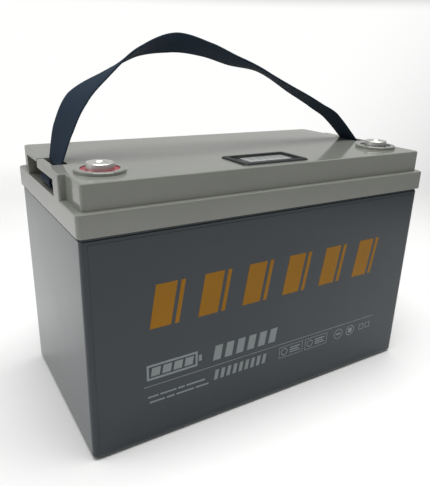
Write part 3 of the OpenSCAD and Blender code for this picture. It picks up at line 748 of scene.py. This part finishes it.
def fine_marks():
    """The thin rule, and small plain marks under it."""
    shapes = [bar(x=-122.0, z=52.0, width=247.5, height=0.55)]
    for start, z, lengths in DASH_LINES:
        x = start
        for length in lengths:
            shapes.append(bar(x, z, length, DASH_HEIGHT))
            x += length + DASH_GAP
    shapes += bar_row(count=9, pitch=6.1, x=-59.5, z=38.6, width=3.4, height=9.2)
    shapes += framed_mark(8.5) + framed_mark(38.5)
    for x in (80.5, 96.0):
        shapes += ring(x, z=43.2, outer=5.4, inner=4.7)
    shapes.append(bar(x=77.6, z=42.5, width=5.8, height=1.4))
    shapes.append(bar(x=93.6, z=40.8, width=4.8, height=4.8))
    for x in (108.2, 116.7):
        shapes += outline_box(x, z=40.2, width=6.0, height=6.0, line=0.7)
    return shapes


# ---------------------------------------------------------------------------------------------
# Display: printed mask and the viewing area under the clear window
# ---------------------------------------------------------------------------------------------
VIEW_LOW = Vector((-18.0, -62.5)) * MM
VIEW_HIGH = Vector((26.0, -43.0)) * MM
VIEW_GAP = 0.05 * MM
MASK_MARGIN = 0.3 * MM
MASK_FROM, MASK_TO = 0.02 * MM, 0.12 * MM
LEVEL_COUNT = 5
LEVEL_WIDTH = 5 * MM
LEVEL_PITCH = 7.2 * MM
LEVEL_MARGIN = 5 * MM


def plate_of(name, boxes, material):
    """Thin plates given by their lowest and highest corners."""
    bm = bmesh.new()
    for low, high in boxes:
        made = bmesh.ops.create_cube(bm, size=1.0)["verts"]
        size = Vector(high) - Vector(low)
        bmesh.ops.scale(bm, vec=size, verts=made)
        bmesh.ops.translate(bm, vec=(Vector(high) + Vector(low)) / 2, verts=made)
    piece = new_piece(name, mesh_of(name, bm), material, smooth=False)
    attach(piece, BATTERY)
    return piece


def make_display(mask_material, glass_material, mark_material):
    """The dark mask, the pale area that it frames, and a row of level blocks."""
    low_z = PANEL_TOP + MASK_FROM
    high_z = PANEL_TOP + MASK_TO
    left, right = WINDOW_LOW.x + MASK_MARGIN, WINDOW_HIGH.x - MASK_MARGIN
    front, back = WINDOW_LOW.y + MASK_MARGIN, WINDOW_HIGH.y - MASK_MARGIN
    mask = [
        ((left, front, low_z), (right, VIEW_LOW.y, high_z)),
        ((left, VIEW_HIGH.y, low_z), (right, back, high_z)),
        ((left, VIEW_LOW.y, low_z), (VIEW_LOW.x, VIEW_HIGH.y, high_z)),
        ((VIEW_HIGH.x, VIEW_LOW.y, low_z), (right, VIEW_HIGH.y, high_z))]
    plate_of("display_mask", mask, mask_material)
    view_low = (VIEW_LOW.x + VIEW_GAP, VIEW_LOW.y + VIEW_GAP, low_z)
    view_high = (VIEW_HIGH.x - VIEW_GAP, VIEW_HIGH.y - VIEW_GAP, high_z - VIEW_GAP)
    plate_of("display_viewing_area", [(view_low, view_high)], glass_material)
    marks = []
    for i in range(LEVEL_COUNT):
        x = VIEW_LOW.x + LEVEL_MARGIN + LEVEL_PITCH * i
        low = (x, VIEW_LOW.y + LEVEL_MARGIN, high_z - VIEW_GAP)
        marks.append((low, (x + LEVEL_WIDTH, VIEW_HIGH.y - LEVEL_MARGIN, high_z)))
    plate_of("display_level_marks", marks, mark_material)


# ---------------------------------------------------------------------------------------------
# Thread inside the terminals
# ---------------------------------------------------------------------------------------------
THREAD_PITCH = 1.25 * MM
THREAD_OUTER = 3.38 * MM
THREAD_INNER = 3.12 * MM
THREAD_START = 1.2 * MM
THREAD_TURNS = 8
THREAD_STEPS = 40
THREAD_RUN_OUT = 12
# Keeps the two end faces of the ridge from shrinking to a line
THREAD_EASE = 0.001 * MM


def make_thread(name, terminal, material):
    """A helical ridge on the wall of the tapped hole."""
    centre = middle_of(terminal)
    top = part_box(terminal)[1].z - THREAD_START
    bm = bmesh.new()
    rows = []
    total = THREAD_TURNS * THREAD_STEPS
    for i in range(total + 1):
        angle = 2 * math.pi * i / THREAD_STEPS
        z = top - THREAD_PITCH * i / THREAD_STEPS
        run = min(1.0, i / THREAD_RUN_OUT, (total - i) / THREAD_RUN_OUT)
        crest = THREAD_OUTER + (THREAD_INNER - THREAD_OUTER) * run
        section = (
            (THREAD_OUTER, 0.0, 0.45), (crest, 0.0, 0.09),
            (crest, THREAD_EASE, -0.09), (THREAD_OUTER, THREAD_EASE, -0.45))
        rows.append([
            bm.verts.new((
                centre.x + (radius + ease) * math.cos(angle),
                centre.y + radius * math.sin(angle), z + up * THREAD_PITCH))
            for radius, ease, up in section])
    for near, far in zip(rows, rows[1:]):
        for k in range(4):
            bm.faces.new((near[k], near[(k + 1) % 4], far[(k + 1) % 4], far[k]))
    bm.faces.new(rows[0])
    bm.faces.new(rows[-1])
    piece = new_piece(name, mesh_of(name, bm), material)
    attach(piece, BATTERY)
    return piece


# ---------------------------------------------------------------------------------------------
# Build
# ---------------------------------------------------------------------------------------------
make_camera()
make_world()
for light_name, setting in LIGHTS.items():
    make_light(light_name, *setting)
make_floor("studio_floor")

CASE_COLOUR = (0.0135, 0.0225, 0.0285)
LID_COLOUR = (0.205, 0.212, 0.190)
LABEL_COLOUR = (0.0165, 0.0250, 0.0320)
BEZEL_COLOUR = (0.010, 0.011, 0.012)
METAL = (0.60, 0.60, 0.575)

finishes = {
    "case_plastic": moulded_plastic(
        "case_plastic_finish", CASE_COLOUR, 0.15, grain=0.000007, haze=0.02, gloss=0.45),
    "lid_plastic": moulded_plastic("lid_plastic_finish", LID_COLOUR, 0.085, grain=0.000004, haze=0.012),
    "sealant": rubbery("sealant_finish", (0.03, 0.03, 0.032), 0.6),
    "label_film": printed_film("label_film_finish", LABEL_COLOUR, 0.045, gloss=0.44),
    "red_ring": glossy_ring("red_ring_finish", (0.30, 0.006, 0.030)),
    "black_ring": glossy_ring("black_ring_finish", (0.018, 0.018, 0.019)),
    "zinc_steel": brushed_metal("zinc_steel_finish", (0.62, 0.63, 0.65), 0.34),
    "bezel_plastic": moulded_plastic(
        "bezel_plastic_finish", BEZEL_COLOUR, 0.46, grain=0.000006, gloss=0.34),
    "window_plastic": clear_window("window_finish"),
    "lcd_glass": printed_film("lcd_glass_finish", (0.44, 0.46, 0.45), 0.16),
    "circuit_board": circuit_board("circuit_board_finish"),
    "red_wire": rubbery("red_wire_finish", (0.36, 0.012, 0.012), 0.42, 0.00001),
    "black_wire": rubbery("black_wire_finish", (0.018, 0.018, 0.019), 0.42, 0.00001),
    "thin_wire": rubbery("thin_wire_finish", (0.05, 0.05, 0.055), 0.40, 0.00001),
    "cell_wrap": printed_film("cell_wrap_finish", (0.018, 0.075, 0.24), 0.26, 2.0),
    "insulating_sheet": rubbery("insulating_sheet_finish", (0.55, 0.50, 0.28), 0.5, 0.00002, 700.0),
    "bare_aluminium": brushed_metal("bare_aluminium_finish", (0.78, 0.79, 0.80), 0.36),
    "copper": brushed_metal("copper_finish", (0.78, 0.42, 0.26), 0.30, stain=0.65),
    "black_moulding": moulded_plastic("black_moulding_finish", (0.016, 0.016, 0.017), 0.42, grain=0.00003),
    "nylon": moulded_plastic("nylon_finish", (0.028, 0.029, 0.032), 0.40, grain=0.00002),
    "webbing": webbing_cloth("webbing_finish"),
    "tinned_brass": brushed_metal("tinned_brass_finish", METAL, 0.26),
}
for subpart in frame["record"]["subparts"]:
    cad_node = frame["nodes"][subpart["node"]]
    cad_node.data.materials.clear()
    cad_node.data.materials.append(finishes.get(subpart["material_slot"], finishes["black_moulding"]))

softened("lid", "lid_shell", finishes["lid_plastic"], 0.45 * MM)
softened("case_tub", "case_shell", finishes["case_plastic"], 0.4 * MM)
softened("front_label", "label_sheet", finishes["label_film"], 0.08 * MM, 2)
softened("display_bezel", "display_frame", finishes["bezel_plastic"], 0.2 * MM)
for sign, ring_slot in (("positive", "red_ring"), ("negative", "black_ring")):
    softened(f"{sign}_ring", f"{sign}_ring_cap", finishes[ring_slot], 0.25 * MM)
    turned = turned_metal(f"{sign}_terminal_finish", METAL, 0.38, middle_of(f"{sign}_terminal"))
    softened(f"{sign}_terminal", f"{sign}_terminal_head", turned, 0.25 * MM)
    make_thread(f"{sign}_terminal_thread", f"{sign}_terminal", turned)
for side_name in ("left", "right"):
    softened(f"{side_name}_strap_pin", f"{side_name}_loop_pin", finishes["nylon"], 0.5 * MM)

webbing = make_band("carry_webbing", strap_path(), finishes["webbing"])
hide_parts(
    "carry_strap", "left_strap_root", "right_strap_root", "left_strap_loop", "right_strap_loop")
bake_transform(webbing)
thread_finish = thread_cloth("sewing_thread_finish")
for side_name, side in (("left", -1), ("right", 1)):
    stitching = make_stitching(f"{side_name}_loop_stitching", side, thread_finish)
    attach(stitching, BATTERY)

amber = printed_film("amber_print", (0.290, 0.129, 0.001), 0.12, gloss=0.16)
pale = printed_film("pale_print", (0.205, 0.230, 0.235), 0.20, gloss=0.35)
faint = printed_film("faint_print", (0.190, 0.215, 0.220), 0.20, gloss=0.35)
make_print("label_gauge_blocks", charge_gauge(), amber)
make_print("label_cell_marks", pale_marks(), pale)
make_print("label_fine_marks", fine_marks(), faint)

mask_finish = printed_film("display_mask_finish", (0.012, 0.012, 0.013), 0.12)
level_finish = printed_film("display_level_finish", (0.28, 0.30, 0.29), 0.16)
make_display(mask_finish, finishes["lcd_glass"], level_finish)
